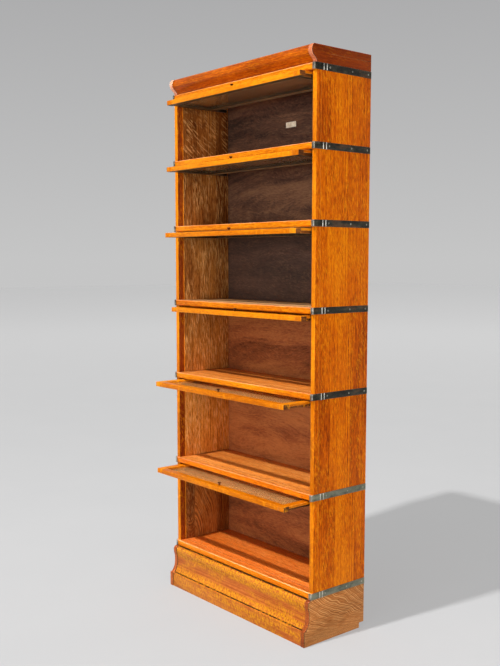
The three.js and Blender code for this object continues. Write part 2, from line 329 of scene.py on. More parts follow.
glassLook = {
    "ripple": (9.0, 16.0, 9.0), "smear": (26.0, 60.0, 26.0),   # cells to the metre
    "clear": (0.985, 0.99, 0.98, 1), "rough": (0.02, 0.10), "bend": 1.5,
}


def makeGlass(name, dustAndReflectionColour, dustAndReflectionLow, dustAndReflectionHigh):
    # clear old window glass: it lets light through, and a film shows on it: dust, and on the panes' top faces
    # also an orange painted reflection
    material = newMaterial(name)
    place = wire("ShaderNodeTexCoord", "Object", {})
    ripple = noise(place, glassLook["ripple"], detail=1.0)
    smear = noise(place, glassLook["smear"], detail=4.0, rough=0.65)
    bump = wire("ShaderNodeBump", 0, {"Strength": 0.25, "Distance": 0.002, "Height": ripple})
    rough = between(smear, 0.3, 0.8, *glassLook["rough"])
    gloss = wire("ShaderNodeBsdfGlossy", 0, {"Color": (1, 1, 1, 1), "Roughness": rough, "Normal": bump})
    clear = wire("ShaderNodeBsdfTransparent", 0, {"Color": glassLook["clear"]})
    dustAndReflection = wire("ShaderNodeBsdfDiffuse", 0, {"Color": shown(*dustAndReflectionColour)})
    share = wire("ShaderNodeFresnel", 0, {"IOR": glassLook["bend"]})
    pane = wire("ShaderNodeMixShader", 0, {0: share, 1: clear, 2: gloss})
    film = between(smear, 0.3, 0.75, dustAndReflectionLow, dustAndReflectionHigh)
    closeTree(wire("ShaderNodeMixShader", 0, {0: film, 1: pane, 2: dustAndReflection}))
    return material


def makePaper(name):
    material = newMaterial(name)
    place = wire("ShaderNodeTexCoord", "Object", {})
    fibres = noise(place, (1400.0, 700.0, 500.0), detail=2.0)
    stains = noise(place, (60.0, 60.0, 60.0), detail=3.0)
    shade = summed(0.5, [(fibres, 0.4), (stains, 1.2)])
    colour = ramp(shade, [(0.2, shown(206, 190, 158)), (0.7, shown(255, 250, 234))])
    bump = wire("ShaderNodeBump", 0, {"Strength": 0.3, "Distance": 0.0002, "Height": fibres})
    roughness = between(stains, 0.3, 0.7, 0.7, 0.9)
    inputs = {"Base Color": colour, "Roughness": roughness, "Normal": bump}
    closeTree(wire("ShaderNodeBsdfPrincipled", 0, inputs))
    return material


# the finishes, each with its dark, middle and light shade
caseOak = makeOak("caseOak", boards=0.105, shine=0.04, coat=0.0)
# the rails' and doors' own oak; on the linings' front faces it stands as painted light
edgeOak = makeOak("edgeOak", (166, 76, 0), (208, 114, 2), (234, 152, 14),
    broadWeight=0.5, mottleWeight=0.8, fleckShare=0.35, wear=1.1, worn=(255, 186, 110))
# painted light: a lighter copy of the oak for the faces that look forward, on the end boards and the doors
litFrontOak = makeOak("litFrontOak", (166, 80, 0), (206, 112, 2), (232, 146, 14),
    broadWeight=0.5, mottleWeight=0.6, fleckShare=0.3, wear=0.9, worn=(255, 180, 90))
# painted shade: a darker copy of the case oak for the end boards' inward faces
shadedCheekOak = makeOak("shadedCheekOak", (88, 30, 8), (138, 56, 16), (178, 88, 30))
railOak = makeOak("railOak", (164, 72, 0), (214, 108, 4), (240, 146, 14),
    broadWeight=0.5, mottleWeight=0.7, fleckShare=0.3, wear=1.3, worn=(255, 190, 130))
# partly the darker end grain of the front rail and partly painted shade: it goes on the front of each door
# side and on the wall of the side channels
shadedEndGrainOak = makeOak("shadedEndGrainOak", (62, 34, 14), (104, 58, 24), (146, 86, 38),
    streakWeight=0.4, wear=0.8, worn=(255, 170, 90))
# painted shade: a dark copy of the oak for the doors' undersides, the beads under the glass and the upper
# face of the cornice's pressed line; it also draws the dark line where the rims turn to the side
paintedShadeOak = makeOak("paintedShadeOak", (34, 26, 18), (62, 50, 36), (92, 74, 52),
    fleck=(100, 84, 60), pore=(24, 18, 12), worn=(120, 92, 60), wear=0.4)
# a pale greyish oak for the underside of each door's back rail
paleUndersideOak = makeOak("paleUndersideOak", (92, 78, 60), (136, 118, 94), (166, 148, 122),
    fleck=(176, 158, 130), pore=(60, 48, 36), worn=(190, 172, 144))
# painted shade: a dark oak for the quirks of the shelf strips and the base moulding, and for the moulding's
# top under the rail
creaseShadeOak = makeOak("creaseShadeOak", (40, 22, 10), (70, 40, 18), (104, 62, 28))

# linings, from the lowest unit up
liningBase = {
    "shades": ((84, 42, 14), (142, 82, 34), (200, 130, 60)), "fleck": (255, 196, 120),
    "pore": (46, 22, 8), "fleckTilt": 6.0, "fleckSize": (26.0, 420.0), "fleckShare": 0.75,
    "fleckEdge": (0.51, 0.61), "boards": 0.125, "wear": 1.0, "worn": (255, 180, 110), "coat": 0.0,
}
speckedOak = makeOak("speckedOak", base=liningBase)
rayOak = makeOak("rayOak", base=liningBase,
    fleckTilt=52.0, fleckSize=(20.0, 150.0), fleckShare=0.5, fleckEdge=(0.50, 0.62))
# litGoldenOak and litAmberOak, for units 2 and 3, are lighter copies: partly the boards' own tone, partly
# painted light from the light bouncing in
litGoldenOak = makeOak("litGoldenOak", (142, 76, 24), (210, 128, 48), (246, 172, 78), base=liningBase)
litAmberOak = makeOak("litAmberOak", (116, 64, 22), (184, 112, 44), (228, 156, 72), base=liningBase)
contourOak = makeOak("contourOak", (88, 40, 12), (134, 70, 26), (196, 116, 48), base=liningBase,
    crown=0.34, sway=0.06, drift=(5.0, 14.0, 14.0), lines=190.0, lineWeight=1.1,
    streakWeight=0.4, mottleWeight=0.5, fleckShare=0.2)
linings = (contourOak, litGoldenOak, litAmberOak, speckedOak, speckedOak, rayOak)

# back panels, from the lowest unit up
backBase = {
    "shades": ((56, 42, 36), (96, 68, 54), (134, 98, 72)), "fleck": (150, 112, 84),
    "pore": (40, 28, 24), "crown": 0.22, "sway": 0.14, "drift": (2.2, 5.0, 5.0), "lines": 34.0,
    "lineWeight": 0.6, "streakWeight": 0.4, "broadWeight": 1.1, "mottleWeight": 0.7,
    "toneWeight": 0.16, "fleckShare": 0.2, "wear": 0.1, "coat": 0.0, "rough": (0.5, 0.75),
}
backOak = makeOak("backOak", base=backBase)
greyBackOak = makeOak("greyBackOak", (62, 50, 44), (88, 66, 56), (112, 86, 72), base=backBase,
    broadWeight=0.7, lineWeight=0.4)
# painted light: a warmer, lighter copy of the back for the three lowest units, where more light comes in
litWarmBackOak = makeOak("litWarmBackOak", (94, 50, 28), (146, 82, 46), (182, 112, 62), base=backBase,
    fleck=(196, 126, 78))
backFinishes = (litWarmBackOak, litWarmBackOak, litWarmBackOak, greyBackOak, backOak, backOak)

# shelves, from the lowest unit up
shelfBase = {"fleckShare": 0.25, "wear": 1.2, "broadWeight": 0.4, "boards": 0.11}
shelfOak = makeOak("shelfOak", (180, 82, 22), (234, 116, 36), (255, 156, 70), base=shelfBase,
    fleck=(255, 176, 110), worn=(255, 200, 150))
paleShelfOak = makeOak("paleShelfOak", (180, 98, 34), (230, 134, 50), (255, 184, 100), base=shelfBase,
    fleck=(255, 196, 124), worn=(255, 214, 170))
dustyShelfOak = makeOak("dustyShelfOak", (156, 112, 70), (206, 150, 96), (240, 196, 146), base=shelfBase,
    boards=0.0, fleck=(244, 206, 160), worn=(255, 226, 196), broadWeight=0.6)
shelfFinishes = (shelfOak, paleShelfOak, paleShelfOak, dustyShelfOak, dustyShelfOak, dustyShelfOak)

# cornice and base
corniceOak = makeOak("corniceOak", (96, 30, 0), (150, 58, 2), (196, 92, 8),
    fleckShare=0.08, wear=1.0, worn=(255, 178, 130), mottleWeight=0.3, streakWeight=0.4,
    lineWeight=0.3, broadWeight=0.5, poreShare=0.3)
# the front moulding's more orange oak, partly painted light; it is also the lit lower face of the cornice
# ends' pressed line
corniceFrontLitOak = makeOak("corniceFrontLitOak", (116, 42, 0), (182, 82, 2), (226, 124, 12),
    fleckShare=0.2, wear=1.0, worn=(255, 178, 110), mottleWeight=0.6)
rimBase = {"fleckShare": 0.1, "wear": 1.6, "lineWeight": 0.2, "streakWeight": 0.3}
# painted highlight with a little wear: a pale pink oak for the cornice ends' front rims
rimGlintOak = makeOak("rimGlintOak", (190, 100, 60), (220, 142, 104), (250, 204, 178), base=rimBase,
    worn=(255, 232, 216), coat=0.2)
baseRimOak = makeOak("baseRimOak", (112, 50, 22), (156, 76, 34), (200, 112, 62), base=rimBase,
    worn=(255, 190, 150))
# painted highlight: a pale oak for the upper arrises of the rails and shelf strips
arrisHighlightOak = makeOak("arrisHighlightOak", (206, 106, 44), (240, 148, 84), (255, 186, 134),
    fleckShare=0.1, wear=1.6, worn=(255, 232, 216), shine=0.2)
baseOak = makeOak("baseOak", (132, 76, 32), (186, 112, 54), (218, 148, 80),
    fleck=(240, 180, 112), flame=5.0, fleckShare=0.5, lineWeight=0.3, streakWeight=0.4,
    mottleWeight=0.5, wear=1.0, worn=(255, 190, 140))
baseFrontOak = makeOak("baseFrontOak", (140, 66, 18), (180, 94, 38), (206, 122, 54),
    fleck=(246, 176, 2), fleckTilt=78.0, fleckSize=(70.0, 330.0), fleckShare=1.0,
    fleckEdge=(0.44, 0.54), streakWeight=0.4, mottleWeight=0.5,
    bands=((0.157, 0.030, 1.0), (0.076, 0.016, 0.6), (0.040, 0.014, 0.4)))

# steel, bronze, glass and paper
darkBand = makeSteel("darkBand", (14, 12, 8), (50, 48, 38), (100, 96, 80), rust=(112, 68, 36), rustShare=0.5)
paleBand = makeSteel("paleBand", (70, 72, 58), (124, 124, 104), (160, 160, 138), rustShare=0.15)
runnerSteel = makeSteel("runnerSteel", (84, 80, 74), (146, 140, 130), (196, 190, 178), rustShare=0.2)
trackSteel = makeSteel("trackSteel", (34, 32, 28), (70, 66, 60), (120, 114, 104), rustShare=0.3)
# paler steel for the bands' beads: partly polished wear, partly a painted highlight
bareSteel = makeSteel("bareSteel", (120, 118, 108), (196, 190, 178), (240, 234, 222),
    rustShare=0.1, rough=(0.22, 0.4))
# for the front of the bands' caps: partly polished wear, partly a painted highlight
capGlintSteel = makeSteel("capGlintSteel", (52, 48, 42), (128, 122, 112), (226, 220, 206),
    rustShare=0.3, rough=(0.25, 0.45))
screwSteel = makeSteel("screwSteel", (110, 108, 98), (168, 165, 150), (214, 210, 196), rustShare=0.1)
pullBronze = makeSteel("pullBronze", (36, 18, 8), (92, 48, 22), (170, 110, 66),
    bare=(255, 236, 210), rustShare=0.1, rough=(0.2, 0.4))
paneGlass = makeGlass("paneGlass", (150, 146, 118), 0.05, 0.16)
dustAndReflectionGlass = makeGlass("dustAndReflectionGlass", (246, 178, 104), 0.12, 0.26)
labelPaper = makePaper("labelPaper")
print("materials are made")


# helpers that shape boards and pieces
trueCorner, rodRim = math.radians(25), math.radians(50)
hair = 1e-5      # closer than this, two places are the same
past = 0.001     # how far a cutter reaches beyond the wood


def roundEdges(block, edges, size, segments=2):
    bmesh.ops.bevel(block, geom=edges, offset=size, offset_type="OFFSET", affect="EDGES",
                    segments=segments, profile=0.5, material=-1, clamp_overlap=True)


def plank(low, high, rounding=0.0008, segments=2):
    # a board from corner to corner, with its edges eased
    block = bmesh.new()
    low, high = Vector(low), Vector(high)
    bmesh.ops.create_cube(block, size=1)
    bmesh.ops.scale(block, vec=high - low, verts=block.verts)
    bmesh.ops.translate(block, vec=(low + high) / 2, verts=block.verts)
    if rounding:
        roundEdges(block, block.edges[:], rounding, segments)
    return block


def extruded(outline, axis, low, high, rounding=0.0):
    # an outline drawn across the axis and carried along it; only true corners are eased
    block = bmesh.new()
    number = "xyz".index(axis)
    corners = []
    for point in outline:
        place = list(point)
        place.insert(number, low)
        corners.append(block.verts.new(place))
    face = block.faces.new(corners)
    grown = bmesh.ops.extrude_face_region(block, geom=[face])
    step = Vector((0, 0, 0))
    step[number] = high - low
    moved = [part for part in grown["geom"] if isinstance(part, bmesh.types.BMVert)]
    bmesh.ops.translate(block, vec=step, verts=moved)
    bmesh.ops.recalc_face_normals(block, faces=block.faces)
    if rounding:
        sharp = [edge for edge in block.edges if edge.calc_face_angle(0) > trueCorner]
        roundEdges(block, sharp, rounding)
    return block


def rod(radius, start, end, rounding=0.0004, sides=28):
    # a round bar from start to end
    block = bmesh.new()
    start, end = Vector(start), Vector(end)
    turn = (end - start).to_track_quat("Z", "Y").to_matrix().to_4x4()
    matrix = Matrix.Translation((start + end) / 2) @ turn
    bmesh.ops.create_cone(block, cap_ends=True, segments=sides, radius1=radius, radius2=radius,
                          depth=(end - start).length, matrix=matrix)
    if rounding:
        rims = [edge for edge in block.edges if edge.calc_face_angle(0) > rodRim]
        roundEdges(block, rims, rounding)
    return block


def asObject(block, name):
    mesh = bpy.data.meshes.new(name)
    block.to_mesh(mesh)
    block.free()
    made = bpy.data.objects.new(name, mesh)
    scene.collection.objects.link(made)
    return made


def carved(block, *cuts):
    # takes the shape of each cut out of the block
    target = asObject(block, "target")
    tools = [asObject(cut, "cutter") for cut in cuts]
    for tool in tools:
        modifier = target.modifiers.new("carve", "BOOLEAN")
        modifier.operation = "DIFFERENCE"
        modifier.solver = "EXACT"
        modifier.object = tool
    result = bmesh.new()
    result.from_object(target, bpy.context.evaluated_depsgraph_get())
    for spent in [target, *tools]:
        bpy.data.objects.remove(spent)
    return result


def sided(block, side):
    # a block made for the right of the case, turned over when it is for the left
    if side < 0:
        bmesh.ops.scale(block, vec=(-1, 1, 1), verts=block.verts)
        bmesh.ops.recalc_face_normals(block, faces=block.faces)
    return block


def cutAcross(block, axis, *places):
    # new edges right round the block at each place along the axis
    for place in places:
        along = Vector((0, 0, 0))
        along[axis] = 1
        bmesh.ops.bisect_plane(block, geom=block.verts[:] + block.edges[:] + block.faces[:],
                               plane_co=along * place, plane_no=along)


def pressIn(block, axis, place, start=-1.0):
    # sinks the outer side's edge at that place, behind start
    for vert in block.verts:
        onEdge = abs(vert.co[axis] - place) < hair and abs(vert.co.x - sideFace) < hair
        if onEdge and vert.co.y > start:
            vert.co.x -= end["lineDepth"]


def grained(block, grain, tone=None, fixed=None):
    # grain names the axes along, across and through the board, such as "zyx"
    axes = ["xyz".index(letter) for letter in grain]
    middle = sum((vert.co for vert in block.verts), Vector()) / len(block.verts)
    shift = Vector([grainPicks.uniform(low, high) for low, high in ((-0.4, 0.4), (-0.04, 0.04), (0, 30))])
    if fixed is not None:
        middle = Vector(fixed)
        shift.x = shift.y = 0
    boardTone = grainPicks.uniform(-1, 1) if tone is None else tone
    placeLayer = block.verts.layers.float_vector.new("woodPlace")
    toneLayer = block.verts.layers.float.new("boardTone")
    for vert in block.verts:
        near = vert.co - middle
        vert[placeLayer] = Vector([near[axis] for axis in axes]) + shift
        vert[toneLayer] = boardTone
    return block


def rimmed(block):
    # the front edge takes the rim finish, a painted highlight, with a dark line where it turns to the side
    for face in block.faces:
        forward = -face.normal.y
        if abs(face.normal.x) < 0.75 and (forward > 0.05 or face.normal.z > 0.3 and forward > -0.2):
            face.material_index = 1
        elif abs(face.normal.x) < 0.98 and forward > 0.05:
            face.material_index = 2
    return block


def facing(block, direction, finishNumber=1):
    # the faces that look that way take another of the piece's finishes
    for face in block.faces:
        if face.normal.dot(Vector(direction)) > 0.6:
            face.material_index = finishNumber
    return block


def makePiece(name, blocks, finishes, *stoodFor, body="case", slotName="oak_case", smooth=32):
    # joins the blocks of one piece, gives it its finishes and hangs it on its body
    whole = bmesh.new()
    for block in blocks:
        part = bpy.data.meshes.new("part")
        block.to_mesh(part)
        block.free()
        whole.from_mesh(part)
        bpy.data.meshes.remove(part)
    piece = asObject(whole, name)
    for finish in finishes if isinstance(finishes, tuple) else (finishes,):
        piece.data.materials.append(finish)
    piece.data.shade_smooth()
    piece.data.set_sharp_from_angle(angle=math.radians(smooth))
    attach(piece, body)
    if stoodFor:
        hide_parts(*stoodFor)
    return piece


def bow(start, pull, end, steps=6):
    # a curve from start to end that leans towards pull, without its first point
    start, pull, end = Vector(start), Vector(pull), Vector(end)
    points = interpolate_bezier(start, start.lerp(pull, 2 / 3), end.lerp(pull, 2 / 3), end, steps + 1)
    return [tuple(point[:2]) for point in points[1:]]


def sCurve(start, firstPull, secondPull, end, steps=10):
    points = interpolate_bezier(Vector(start), Vector(firstPull), Vector(secondPull), Vector(end), steps + 1)
    return [tuple(point[:2]) for point in points[1:]]


def arc(centre, radius, first, last, steps):
    # points on a round corner, the angles in degrees
    turns = [math.radians(first + (last - first) * step / steps) for step in range(steps + 1)]
    return [(centre[0] + radius * math.cos(turn), centre[1] + radius * math.sin(turn)) for turn in turns]


# places that all the pieces share, read from the frame
endLow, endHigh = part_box("unit_1_end_right")
backLow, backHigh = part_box("unit_1_back")
front = endLow.y              # front edges of the ends
rear = endHigh.y
backFace = backLow.y
sideFace = endHigh.x          # outside of the case
liningFace = endLow.x
shelfHalf = backHigh.x
unitCount = sum(name.startswith("unit_") and name.endswith("_back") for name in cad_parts)
gap = 0.0003

# the ends of a unit: an outer board, eased and grooved, with a lining behind the door's place
end = {
    "thickness": 0.0205,
    "rebate": 0.0023, "rebateHeight": 0.0243,   # for the steel band at the foot
    "lipping": 0.022, "lineWidth": 0.0009, "lineDepth": 0.0012,   # the joint behind the front edge
    "rounding": 0.0012,
    "grooveHeight": 0.015, "grooveDepth": 0.008, "grooveFront": 0.003,
    "liningSetback": 0.026, "liningGap": 0.00002,
    "tones": (0.4, -0.1, 0.0, 0.5, 0.2, 0.1),   # lighter or darker, from the lowest unit up
}


def pinHeight(number):
    low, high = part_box(f"unit_{number}_door_carrier")
    return (low.z + high.z) / 2


def endBlock(number):
    low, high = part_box(f"unit_{number}_end_right")
    inner = sideFace - end["thickness"]
    rebateFace = sideFace - end["rebate"]
    rebateTop = low.z + end["rebateHeight"]
    outline = [
        (inner, low.z), (rebateFace, low.z), (rebateFace, rebateTop),
        (sideFace, rebateTop), (sideFace, high.z), (inner, high.z),
    ]
    block = extruded(outline, "y", front, rear, end["rounding"])
    lineY, width = front + end["lipping"], end["lineWidth"]
    cutAcross(block, 1, lineY - width, lineY, lineY + width)
    pressIn(block, 1, lineY)
    pin, half = pinHeight(number), end["grooveHeight"] / 2
    groove = plank((inner - past, front + end["grooveFront"], pin - half),
                   (liningFace + end["grooveDepth"], backFace, pin + half), 0)
    return carved(block, groove)


def liningBlocks(number):
    low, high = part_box(f"unit_{number}_end_right")
    pin, half = pinHeight(number), end["grooveHeight"] / 2
    outer = sideFace - end["thickness"] - end["liningGap"]
    start = front + end["liningSetback"]
    foot = low.z + end["rebateHeight"]
    lower = plank((liningFace, start, foot), (outer, backFace - gap, pin - half), 0.0008)
    upper = plank((liningFace, start, pin + half), (outer, backFace - gap, high.z), 0.0006)
    return [lower, upper]


track = {"thickness": 0.0008, "floor": 0.0004, "stop": 0.0015, "clear": 0.0001, "rounding": 0.0002}


def trackBlocks(number):
    pin, half = pinHeight(number), end["grooveHeight"] / 2 - track["clear"]
    low, high, thick = pin - half, pin + half, track["thickness"]
    inner = liningFace + track["clear"]
    outer = liningFace + end["grooveDepth"] - track["clear"]
    start, finish = front + end["grooveFront"] + track["clear"], backFace - gap
    rounding = track["rounding"]
    return [
        plank((inner, start, low), (outer, finish, low + thick), rounding, 1),
        plank((inner, start, high - thick), (outer, finish, high), rounding, 1),
        plank((outer - track["floor"], start, low + thick), (outer, finish, high - thick), rounding / 2, 1),
        plank((inner, start, low + thick), (outer, start + track["stop"], high - thick), rounding, 1),
    ]


for number in range(1, unitCount + 1):
    for side, word in ((1, "right"), (-1, "left")):
        tone = end["tones"][number - 1]
        # on each end board the forward faces take the lighter painted-light copy and the inward faces the
        # darker painted-shade copy
        outerBoard = facing(facing(sided(endBlock(number), side), (0, -1, 0)), (-side, 0, 0), 2)
        makePiece(f"unit_{number}_end_{word}.board", [grained(outerBoard, "zyx", tone)],
                  (caseOak, litFrontOak, shadedCheekOak), f"unit_{number}_end_{word}")
        # the linings' front faces take the lighter edge oak as painted light
        boards = [grained(facing(sided(block, side), (0, -1, 0)), "zyx", tone,
                          (side * liningFace, 0, 0.5 * number)) for block in liningBlocks(number)]
        makePiece(f"unit_{number}_lining_{word}", boards, (linings[number - 1], edgeOak))
        strips = [sided(block, side) for block in trackBlocks(number)]
        makePiece(f"unit_{number}_track_{word}", strips, trackSteel, slotName="runner_steel")
print("ends, linings and tracks are made")

# shelves: a round-nosed rail, a flat strip behind it and the shelf board, a little lower
shelf = {
    "height": 0.024, "railStrip": 0.050, "drop": 0.0015,   # the board lies lower than the strip
    "nose": 0.007, "shoulder": 0.0055,                     # roundings of the rail's front
    "bead": 0.0095, "beadDip": 0.0012, "beadFloor": 0.0006, "beadTop": 0.001, "beadLean": 0.002,
    "quirk": 0.029, "quirkTop": 0.0009, "quirkFloor": 0.0005, "arris": 0.0022,
    "redRails": (1, 2), "backTones": (0.0, 1.0, 0.2, -0.6, 0.3, -0.4),
}


def noseOutline(frontY, backY, bottom, top):
    bead, dip = frontY + shelf["bead"], top - shelf["beadDip"]
    shoulder, nose = shelf["shoulder"], shelf["nose"]
    outline = [(backY, bottom), (backY, top), (bead + shelf["beadTop"], top)]
    outline += [(bead + shelf["beadFloor"], dip), (bead, dip)]
    outline += bow((bead, dip), (bead, top), (bead - shelf["beadLean"], top), 3)
    outline += [(frontY + shoulder, top)]
    outline += bow((frontY + shoulder, top), (frontY, top), (frontY, top - shoulder))
    outline += [(frontY, bottom + nose)]
    outline += bow((frontY, bottom + nose), (frontY, bottom), (frontY + nose, bottom))
    return outline


def withArrisHighlights(block, start=-1.0):
    # a painted highlight along each upper arris that lies behind start
    for face in block.faces:
        behind = face.calc_center_median().y > front + start
        if behind and face.normal.z > 0.5 and abs(face.normal.y) > 0.25:
            face.material_index = 1
    return block


def shelfBlocks(bottom):
    low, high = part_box("unit_1_shelf")
    top = bottom + shelf["height"]
    nose = extruded(noseOutline(low.y, front - gap, bottom, top), "x", low.x, high.x, 0.0006)
    stripEnd = front + shelf["railStrip"]
    quirk, arris = front + shelf["quirk"], shelf["arris"]
    wide, narrow = shelf["quirkTop"], shelf["quirkFloor"]
    outline = [(front - gap, bottom), (front - gap, top), (quirk - wide, top), (quirk - narrow, top - arris)]
    outline += [(quirk + narrow, top - arris), (quirk + wide, top), (stripEnd - arris, top)]
    outline += bow((stripEnd - arris, top), (stripEnd, top), (stripEnd, top - arris), 3)
    outline += [(stripEnd, bottom)]
    strip = extruded(outline, "x", -shelfHalf, shelfHalf)
    board = plank((-shelfHalf, stripEnd, bottom), (shelfHalf, backFace - gap, top - shelf["drop"]), 0.0007)
    # the quirk's faces take the painted-shade oak
    for face in strip.faces:
        inQuirk = abs(face.calc_center_median().y - quirk) < wide
        if inQuirk and abs(face.normal.x) < 0.5 and face.normal.z > -0.5:
            face.material_index = 2
    return withArrisHighlights(nose), withArrisHighlights(strip, 0.02), board


for number in range(1, unitCount + 1):
    node = f"unit_{number}_shelf"
    nose, strip, board = shelfBlocks(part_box(node)[0].z)
    railTone = grainPicks.uniform(-0.5, 0.5)
    railFinish = railOak if number in shelf["redRails"] else edgeOak
    makePiece(f"unit_{number}_rail", [grained(nose, "xzy", railTone)], (railFinish, arrisHighlightOak), node)
    makePiece(f"unit_{number}_shelf.boards", [grained(strip, "xyz", railTone), grained(board, "xyz")],
              (shelfFinishes[number - 1], arrisHighlightOak, creaseShadeOak), node)
    low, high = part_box(f"unit_{number}_back")
    backFinish, backTone = backFinishes[number - 1], shelf["backTones"][number - 1]
    makePiece(f"unit_{number}_back.panel", [grained(plank(low, high, 0.0006), "xzy", backTone)], backFinish,
              f"unit_{number}_back", slotName="oak_dark")
print("shelves and backs are made")

# doors, lying open: two stiles, two rails, the pane, its beads and a turned pull
door = {
    "thickness": 0.019, "member": 0.034, "frontMember": 0.029, "rounding": 0.0012,
    "shoulder": 0.008, "lap": 0.006,                       # the rebate that holds the pane
    "pinToTop": 0.010, "pinHole": 0.0028, "pinDepth": 0.013,
    "beadClear": 0.0002, "beadBow": 0.35, "beadRounding": 0.0003, "pullSetback": 0.021,
    # the channel under each side, from behind the front rail almost to the pin
    "ledge": 0.009, "ledgeStep": 0.0006, "ledgeThickness": 0.009, "ledgeFront": 0.026, "ledgeBack": 0.018,
    "shadedEndGrain": 1.02, "channelSide": 0.9,                  # shares of the ledge's place that take the dark end-grain finish, partly painted shade
}
pullProfile = [           # radius and height
    (0.0, -0.001), (0.0042, -0.001), (0.0042, 0.0012), (0.0032, 0.0022), (0.0029, 0.0040), (0.0036, 0.0062),
    (0.0056, 0.0076), (0.0068, 0.0092), (0.0070, 0.0103), (0.0062, 0.0117), (0.0040, 0.0127), (0.0, 0.0130),
]


def turned(profile, centre):
    # a profile of radius and height, spun round an upright line through the centre
    block = bmesh.new()
    centre = Vector(centre)
    points = [block.verts.new(centre + Vector((radius, 0, height))) for radius, height in profile]
    edges = [block.edges.new(pair) for pair in zip(points, points[1:])]
    bmesh.ops.spin(block, geom=points + edges, cent=centre, axis=(0, 0, 1), angle=math.tau, steps=28,
                   use_merge=True)
    bmesh.ops.remove_doubles(block, verts=block.verts, dist=1e-6)
    bmesh.ops.recalc_face_normals(block, faces=block.faces)
    return block


def doorBlocks(number):
    low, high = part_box(f"unit_{number}_door_frame")
    half = door["thickness"] / 2
    bottom, top = low.z, low.z + door["thickness"]
    pin = Vector((0, high.y - door["pinToTop"], bottom + half))
    inner = high.x - door["member"]
    step = top - door["shoulder"]
    openFront, openBack = low.y + door["frontMember"], high.y - door["member"]
    rebate = ((-inner - door["lap"], openFront - door["lap"], bottom - past),
              (inner + door["lap"], openBack + door["lap"], step))
    stiles = []
    for side in (-1, 1):
        edges = sorted((side * inner, side * high.x))
        stile = plank((edges[0], low.y, bottom), (edges[1], high.y, top), door["rounding"])
        cuts = [plank(*rebate, 0)]
        channel, relief = (door["ledge"], top - door["ledgeThickness"]), (door["ledgeStep"], top + past)
        for reach, ceiling in (channel, relief):
            edges = sorted((side * (high.x - reach), side * (high.x + past)))
            cuts.append(plank((edges[0], low.y + door["ledgeFront"], bottom - past),
                              (edges[1], high.y - door["ledgeBack"], ceiling), 0))
        hole = rod(door["pinHole"], (side * (high.x - door["pinDepth"]), pin.y, pin.z),
                   (side * (high.x + past), pin.y, pin.z), 0)
        # the stiles' undersides take the dark painted-shade oak
        stile = facing(carved(stile, *cuts, hole), (0, 0, -1))
        # the front of each outer side and the channel's wall take the dark end-grain finish, partly painted
        # shade
        for face in stile.faces:
            middle = face.calc_center_median()
            shadedEndGrain = middle.y < low.y + door["ledgeFront"] * door["shadedEndGrain"]
            inChannel = abs(middle.x) < high.x - door["ledge"] * door["channelSide"]
            if face.normal.x * side > 0.6 and (shadedEndGrain or inChannel):
                face.material_index = 4
        # the stiles' front faces take the lighter painted-light copy
        stiles.append(grained(facing(stile, (0, -1, 0), 2), "yxz"))
    rails = []
    for start, end in ((low.y, openFront), (openBack, high.y)):
        rail = plank((-inner, start, bottom), (inner, end, top), door["rounding"])
        # the front rail's underside takes the dark painted-shade oak, the back rail's underside the pale
        # greyish oak
        under = 1 if start == low.y else 3
        rail = facing(carved(rail, plank(*rebate, 0)), (0, 0, -1), under)
        # the rails' front faces take the lighter painted-light copy
        rails.append(grained(facing(rail, (0, -1, 0), 2), "xyz"))
    return stiles, rails


def beadBlocks(number):
    low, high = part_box(f"unit_{number}_door_frame")
    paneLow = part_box(f"unit_{number}_door_glass")[0]
    lap, clear = door["lap"], door["beadClear"]
    lean = lap * door["beadBow"]
    inner = high.x - door["member"]
    start = low.y + door["frontMember"] - lap + clear
    finish = high.y - door["member"] + lap - clear
    top, foot = paneLow.z - clear, low.z + clear
    side = inner + lap - clear
    places = [(-side, -inner, "yxz", start, finish), (side, inner, "yxz", start, finish),
              (start, start + lap, "xyz", -inner, inner), (finish, finish - lap, "xyz", -inner, inner)]
    blocks = []
    for outer, edge, grainAxes, low, high in places:
        turn = 1 if edge > outer else -1
        outline = [(outer, foot), (outer, top), (edge, top)]
        outline += bow((edge, top), (edge, foot), (outer + turn * lean, foot))
        bead = extruded(outline, grainAxes[0], low, high, door["beadRounding"])
        blocks.append(grained(bead, grainAxes))
    return blocks


runner = {
    "rod": 0.0035, "rodSetback": 0.020, "pin": 0.0025, "pinLength": 0.012, "clear": 0.0003,
    "trolleyHeight": 0.009, "trolleyLead": 0.005, "wheel": 0.0058, "wheelThickness": 0.003,
    "wheelSetback": 0.001, "rivet": 0.0016, "rivetStep": 0.0002,
    "trolleyRounding": 0.0012, "wheelRounding": 0.0006, "rivetRounding": 0.0003,
}


